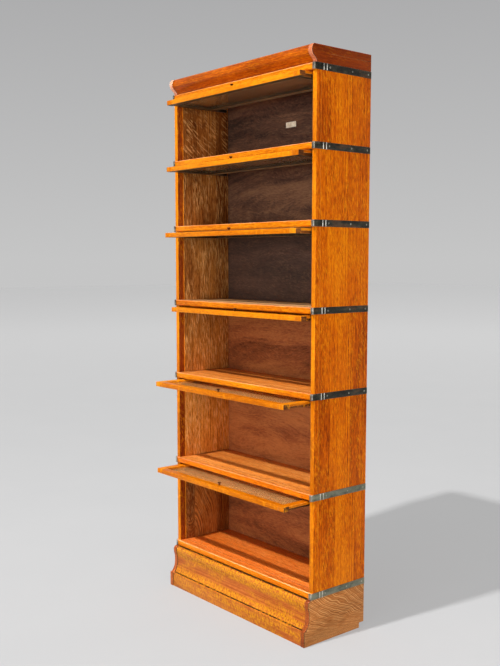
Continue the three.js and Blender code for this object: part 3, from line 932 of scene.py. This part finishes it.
def runnerBlocks(number):
    low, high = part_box(f"unit_{number}_door_carrier")
    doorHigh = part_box(f"unit_{number}_door_frame")[1]
    pinY = doorHigh.y - door["pinToTop"]
    pinZ = (low.z + high.z) / 2
    rodY = pinY + runner["rodSetback"]
    inner = liningFace + runner["clear"]
    blocks = [rod(runner["rod"], (-inner, rodY, pinZ), (inner, rodY, pinZ))]
    wheelX = inner + runner["wheelSetback"]
    for side in (-1, 1):
        half = runner["trolleyHeight"] / 2
        bar = plank((inner, pinY - runner["trolleyLead"], pinZ - half),
                    (high.x, rodY + runner["rod"], pinZ + half), runner["trolleyRounding"])
        blocks.append(sided(bar, side))
        pinStart = side * (doorHigh.x - runner["pinLength"])
        blocks.append(rod(runner["pin"], (pinStart, pinY, pinZ), (side * wheelX, pinY, pinZ)))
        wheelY = (pinY + rodY) / 2
        blocks.append(rod(runner["wheel"], (side * wheelX, wheelY, pinZ),
                          (side * (wheelX + runner["wheelThickness"]), wheelY, pinZ),
                          runner["wheelRounding"], 36))
        blocks.append(rod(runner["rivet"], (side * (inner - runner["rivetStep"]), wheelY, pinZ),
                          (side * (wheelX + runner["wheelSetback"]), wheelY, pinZ),
                          runner["rivetRounding"], 16))
    return blocks


doorOaks = (edgeOak, paintedShadeOak, litFrontOak, paleUndersideOak, shadedEndGrainOak)
for number in range(1, unitCount + 1):
    body, unit = f"door_{number}", f"unit_{number}"
    for word, blocks in zip(("stiles", "rails"), doorBlocks(number)):
        makePiece(f"{unit}_door_{word}", blocks, doorOaks, f"{unit}_door_frame", body=body)
    # the beads under the glass take the dark painted-shade oak all over
    makePiece(f"{unit}_door_beads", beadBlocks(number), paintedShadeOak, body=body)
    low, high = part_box(f"{unit}_door_glass")
    low.y -= door["member"] - door["frontMember"]
    # the pane's top face takes the glass whose film adds a painted reflection to the dust
    pane = facing(plank(low, high, 0.0004, 1), (0, 0, 1))
    makePiece(f"{unit}_pane", [pane], (paneGlass, dustAndReflectionGlass), f"{unit}_door_glass",
              body=body, slotName="glass")
    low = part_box(f"{unit}_door_frame")[0]
    pull = turned(pullProfile, (0, low.y + door["pullSetback"], low.z + door["thickness"]))
    makePiece(f"{unit}_pull", [pull], pullBronze, body=body, slotName="band_steel", smooth=60)
    makePiece(f"{unit}_runner", runnerBlocks(number), runnerSteel, f"{unit}_door_carrier",
              body=f"carrier_{number}", slotName="runner_steel", smooth=40)
print("doors and runners are made")

# steel bands, with two raised beads, a cap round the front and slotted screws
band = {
    "thickness": 0.0025, "wrap": 0.013, "corner": 0.006, "beads": (0.034, 0.049), "beadRadius": 0.002,
    "screws": (0.064, 0.178, 0.262), "screwRadius": 0.0030, "screwHeight": 0.0008, "slot": 0.0005,
    "rounding": 0.0004, "screwRounding": 0.00025, "screwRoot": 0.0002,
    "paleUpTo": 2,           # the lowest bands are rubbed paler
}


def bandBlock(low, high):
    outer = high.x - band["beadRadius"]
    inner = outer - band["thickness"]
    capFront, capBack = low.y, low.y + band["thickness"]
    wrap, corner = outer - band["wrap"], band["corner"]
    outline = [(inner, rear), (inner, capBack), (wrap, capBack), (wrap, capFront)]
    outline += arc((outer - corner, capFront + corner), corner, -90, 0, 6)
    for place in band["beads"]:
        outline += arc((outer, front + place), band["beadRadius"], -90, 90, 6)
    outline += [(outer, rear)]
    block = extruded(outline, "z", low.z, high.z, band["rounding"])
    # the beads and the cap's front take paler steel: partly polished wear, partly a painted highlight
    for face in block.faces:
        middle = face.calc_center_median()
        onBead = middle.x > outer + band["beadRadius"] * 0.3
        onCap = middle.y < capFront + corner * 0.5 and face.normal.y < -0.35
        face.material_index = 1 if onBead else 2 if onCap else 0
    return block


def screwBlocks(face, place, height):
    # a round head in two halves, either side of its slot
    radius, slot = band["screwRadius"], band["slot"]
    blocks = []
    for half in (1, -1):
        outline = [(place + across, height + half * (slot + up * (radius - slot) / radius))
                   for across, up in arc((0, 0), radius, 0, 180, 10)]
        blocks.append(extruded(outline, "x", face - band["screwRoot"], face + band["screwHeight"],
                               band["screwRounding"]))
    return blocks


for number in range(1, unitCount + 2):
    for side, word in ((1, "right"), (-1, "left")):
        node = f"band_{number}_{word}"
        low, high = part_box(f"band_{number}_right")
        finish = paleBand if number <= band["paleUpTo"] else darkBand
        strip = sided(bandBlock(low, high), side)
        makePiece(f"{node}.strip", [strip], (finish, bareSteel, capGlintSteel), node, slotName="band_steel")
        face = high.x - band["beadRadius"]
        heads = []
        for place in band["screws"]:
            heads += screwBlocks(face, front + place, (low.z + high.z) / 2)
        makePiece(f"{node}.screws", [sided(head, side) for head in heads], screwSteel,
                  slotName="runner_steel")
print("bands are made")

# cornice: bottom board and rail, end boards, top board and the front moulding
cornice = {
    "board": 0.020, "reach": 0.025, "rise": 0.062, "top": 0.014, "inset": 0.0027, "low": 0.0243,
    "gap": 0.0016, "rounding": 0.0022, "lineHeight": 0.059, "lineStart": 0.068,
    # the moulding's curves: distances behind the nose and above the foot
    "hollow": ((0.024, 0.016), (0.005, 0.018), (0.002, 0.032)),
    "bead": ((-0.002, 0.040), (0.002, 0.048)),
    "shoulder": ((0.005, 0.060), (0.013, 0.062)),
}


def corniceOutline(inset, foot, backY):
    start = front + inset
    nose = start - cornice["reach"]
    hollow, bead, shoulder = [[(nose + back, foot + up) for back, up in cornice[curve]]
                              for curve in ("hollow", "bead", "shoulder")]
    outline = [(backY, foot), (start, foot)] + sCurve((start, foot), *hollow)
    outline += bow(hollow[-1], *bead, 5)
    outline += bow(bead[-1], *shoulder, 6)
    return outline + [(backY, foot + cornice["rise"])]


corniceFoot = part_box("cornice_case")[0].z
endStart = sideFace - cornice["board"]
nose, strip, board = shelfBlocks(corniceFoot)
footHigh = corniceFoot + cornice["low"]
corniceTop = footHigh + cornice["rise"] - gap


def corniceEnd():
    block = extruded(corniceOutline(0, footHigh, rear), "x", endStart, sideFace, cornice["rounding"])
    lineZ, lineY, width = corniceFoot + cornice["lineHeight"], front + cornice["lineStart"], end["lineWidth"]
    cutAcross(block, 2, lineZ - width, lineZ, lineZ + width)
    cutAcross(block, 1, lineY)
    pressIn(block, 2, lineZ, lineY + past)
    # the pressed line's upper face takes the dark painted-shade oak and its lower face the front moulding's
    # oak as painted light
    for face in block.faces:
        middle = face.calc_center_median()
        if abs(middle.z - lineZ) < width and middle.y > lineY and abs(face.normal.x) > 0.3:
            face.material_index = 3 if middle.z < lineZ else 2
    return block


for side, word in ((1, "right"), (-1, "left")):
    foot = plank((shelfHalf + gap, front, corniceFoot),
                 (sideFace - end["rebate"], rear, footHigh - 0.0001), 0.0006)
    boards = [grained(rimmed(sided(corniceEnd(), side)), "yzx"), grained(sided(foot, side), "yzx")]
    makePiece(f"cornice_end_{word}", boards, (corniceOak, rimGlintOak, paintedShadeOak, corniceFrontLitOak), "cornice_case",
              slotName="oak_cornice")
makePiece("cornice_rail", [grained(nose, "xzy")], (edgeOak, arrisHighlightOak), "cornice_case")
makePiece("cornice_bottom", [grained(strip, "xyz"), grained(board, "xyz")],
          (shelfOak, arrisHighlightOak, creaseShadeOak), "cornice_case")
frontEdge = front + cornice["inset"]
topBoard = plank((-endStart, frontEdge + gap, corniceTop - cornice["top"]),
                 (endStart, rear, corniceTop), 0.0008)
makePiece("cornice_top", [grained(topBoard, "xyz")], corniceOak, "cornice_case", slotName="oak_cornice")
mouldingHalf = endStart - cornice["gap"]
outline = corniceOutline(cornice["inset"], footHigh, frontEdge)
moulding = extruded(outline, "x", -mouldingHalf, mouldingHalf, 0.0008)
makePiece("cornice_front.moulding", [grained(moulding, "xzy")], corniceFrontLitOak, "cornice_front",
          slotName="oak_cornice")
print("cornice is made")

# base: end boards notched for a room's skirting, the front moulding and a rail behind
base = {
    "board": 0.020, "reach": 0.044, "inset": 0.003, "frontBack": 0.003, "rounding": 0.0024,
    "notch": 0.025, "notchHeight": 0.020,
    # the moulding's curves: distances behind the nose and below the top
    "nose": 0.025, "lip": 0.009, "round": ((0, 0.002), (0, 0.018)),
    "neck": ((0, 0.034), (0.006, 0.036), (0.006, 0.056)), "hollow": ((0.006, 0.092), (0.001, 0.098)),
    "quirk": 0.113, "quirkWidth": 0.0024, "quirkSlope": 0.0002,
    "quirkLip": 0.008, "quirkDepth": 0.0095, "toe": 0.005, "toeHeight": 0.006,   # behind the skirting
}
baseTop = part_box("base_frame")[1].z


def baseCurve(inset, width=0.0):
    # rounded nose, hollow, a narrow quirk of that width, then the skirting down to the floor
    start = front + inset
    nose, skirting, lip = start - base["nose"], start - base["reach"], (start - base["lip"], baseTop)
    rounded, neck, hollow = [[(nose + back, baseTop - down) for back, down in base[curve]]
                             for curve in ("round", "neck", "hollow")]
    quirkTop, quirkFoot = [baseTop - base["quirk"] + half for half in (width / 2, -width / 2)]
    toe = (skirting + base["toe"], quirkFoot)
    points = [lip] + bow(lip, *rounded, 8)
    points += sCurve(rounded[-1], *neck)
    points += sCurve(neck[-1], *hollow, (skirting + base["quirkLip"], quirkTop))
    if width:
        deep = skirting + base["quirkDepth"]
        points += [(deep, quirkTop - base["quirkSlope"]), (deep, quirkFoot), toe]
    points += bow(toe, (skirting, quirkFoot), (skirting, quirkFoot - base["toeHeight"]), 5)
    return points + [(skirting, 0)]


for side, word in ((1, "right"), (-1, "left")):
    notchY = rear - base["notch"]
    outline = [(rear, base["notchHeight"]), (rear, baseTop)] + baseCurve(0)
    outline += [(notchY, 0), (notchY, base["notchHeight"])]
    board = extruded(outline, "x", sideFace - base["board"], sideFace, base["rounding"])
    board = grained(rimmed(sided(board, side)), "yzx", fixed=(0, front - base["reach"], 0))
    makePiece(f"base_end_{word}", [board], (baseOak, baseRimOak, paintedShadeOak), "base_frame", slotName="oak_base")
baseRail = plank((-endStart, rear - base["board"], base["notchHeight"]), (endStart, rear, baseTop), 0.001)
makePiece("base_rail", [grained(baseRail, "xzy")], baseRimOak, "base_frame", slotName="oak_base")
backY = front + base["frontBack"]
outline = [(backY, 0), (backY, baseTop)] + baseCurve(base["inset"], base["quirkWidth"])
moulding = extruded(outline, "x", -mouldingHalf, mouldingHalf, 0.0008)
# the quirk and the top under the rail take the painted-shade oak
for face in moulding.faces:
    middle = face.calc_center_median()
    inQuirk = abs(middle.z - baseTop + base["quirk"]) < base["quirkWidth"] * 0.7
    onTop = face.normal.z > 0.9 and middle.z > baseTop - 0.003
    face.material_index = 1 if inQuirk or onTop else 0
makePiece("base_front.moulding", [grained(moulding, "xzy", fixed=(0, 0, 0))], (baseFrontOak, creaseShadeOak),
          "base_front", slotName="oak_base")
print("base is made")

# a blank paper label on the back of the top unit
label = {
    "width": 0.060, "height": 0.022, "thickness": 0.0003, "place": (0.0035, 1.981), "clear": 0.0001,
    "curl": 0.0048, "curlFrom": 0.6,
}
paper = bmesh.new()
bmesh.ops.create_grid(paper, x_segments=16, y_segments=8, size=0.5)
for vert in paper.verts:
    sideways, upright = vert.co.x, vert.co.y
    lift = label["curl"] * max(0.0, sideways + upright - label["curlFrom"]) ** 2
    vert.co = (label["place"][0] + sideways * label["width"], backFace - label["clear"] - lift,
               label["place"][1] + upright * label["height"])
bmesh.ops.recalc_face_normals(paper, faces=paper.faces)
bmesh.ops.solidify(paper, geom=paper.faces[:], thickness=label["thickness"])
bmesh.ops.recalc_face_normals(paper, faces=paper.faces)
makePiece("blank_label", [paper], labelPaper, slotName="oak_dark")
print("label is made")

# the floor and the light
studio = {
    "floorHalf": 40, "floorNear": ((0.240, 0.240, 0.242, 1), (0.250, 0.249, 0.250, 1)),
    "floorFar": (0.42, 0.42, 0.42, 1), "farFrom": 2.5, "farTo": 16.0, "floorGlow": 0.318,
    # place, aim, size and power of each light
    "key": ((0.0, -3.73, 6.56), (0, 0, 1.0), (0.2, 0.2), 11.2),
    "side": ((4.6, -1.0, 1.6), (0, 0, 1.1), (3.0, 2.6), 70),
    "front": ((2.0, -9.5, 2.1), (0, 0, 1.1), (7.0, 3.8), 310),
    "sky": ((0.0, (0.56, 0.56, 0.56, 1)), (0.28, (0.41, 0.41, 0.415, 1)), (1.0, (0.48, 0.48, 0.48, 1))),
}
floorMaterial = newMaterial("paleFloor")
floorPlace = wire("ShaderNodeTexCoord", "Object", {})
floorGrain = noise(floorPlace, (1.5, 1.5, 1.5), detail=3.0)
floorNear = ramp(floorGrain, list(zip((0.3, 0.7), studio["floorNear"])))
floorReach = vectorCalc("LENGTH", floorPlace, output="Value")
floorFar = between(floorReach, studio["farFrom"], studio["farTo"])
floorColour = mixed(floorFar, floorNear, studio["floorFar"])
floorShader = wire("ShaderNodeBsdfPrincipled", 0,
                   {"Base Color": floorColour, "Roughness": 0.8, "Specular IOR Level": 0.1,
                    "Emission Color": (1, 1, 1, 1), "Emission Strength": studio["floorGlow"]})
closeTree(floorShader)
floorSheet = bmesh.new()
bmesh.ops.create_grid(floorSheet, x_segments=4, y_segments=4, size=studio["floorHalf"])
floor = asObject(floorSheet, "floor")
floor.data.materials.append(floorMaterial)


def addLight(name, place, aim, size, power):
    data = bpy.data.lights.new(name, "AREA")
    data.shape = "RECTANGLE"
    data.size, data.size_y = size
    data.energy = power
    lamp = bpy.data.objects.new(name, data)
    lamp.location = place
    lamp.rotation_euler = (Vector(aim) - Vector(place)).to_track_quat("-Z", "Y").to_euler()
    lamp.visible_camera = False
    scene.collection.objects.link(lamp)
    return data


keyLight = addLight("keyLight", *studio["key"])
newTree(keyLight)                        # as bright far away as it is close by
keyStrength = wire("ShaderNodeLightFalloff", "Constant", {"Strength": 1.0})
keyGlow = wire("ShaderNodeEmission", 0, {"Color": (1, 1, 1, 1), "Strength": keyStrength})
closeTree(keyGlow, "ShaderNodeOutputLight")
addLight("sideLight", *studio["side"])
addLight("frontLight", *studio["front"])
world = bpy.data.worlds.new("studio")
newTree(world)
skyPlace = wire("ShaderNodeTexCoord", "Generated", {})
skyHeight = wire("ShaderNodeSeparateXYZ", "Z", {0: skyPlace})
skyColour = ramp(skyHeight, studio["sky"])
skyShader = wire("ShaderNodeBackground", 0, {"Color": skyColour, "Strength": 1.0})
closeTree(skyShader, "ShaderNodeOutputWorld")
scene.world = world
print("floor and light are set")
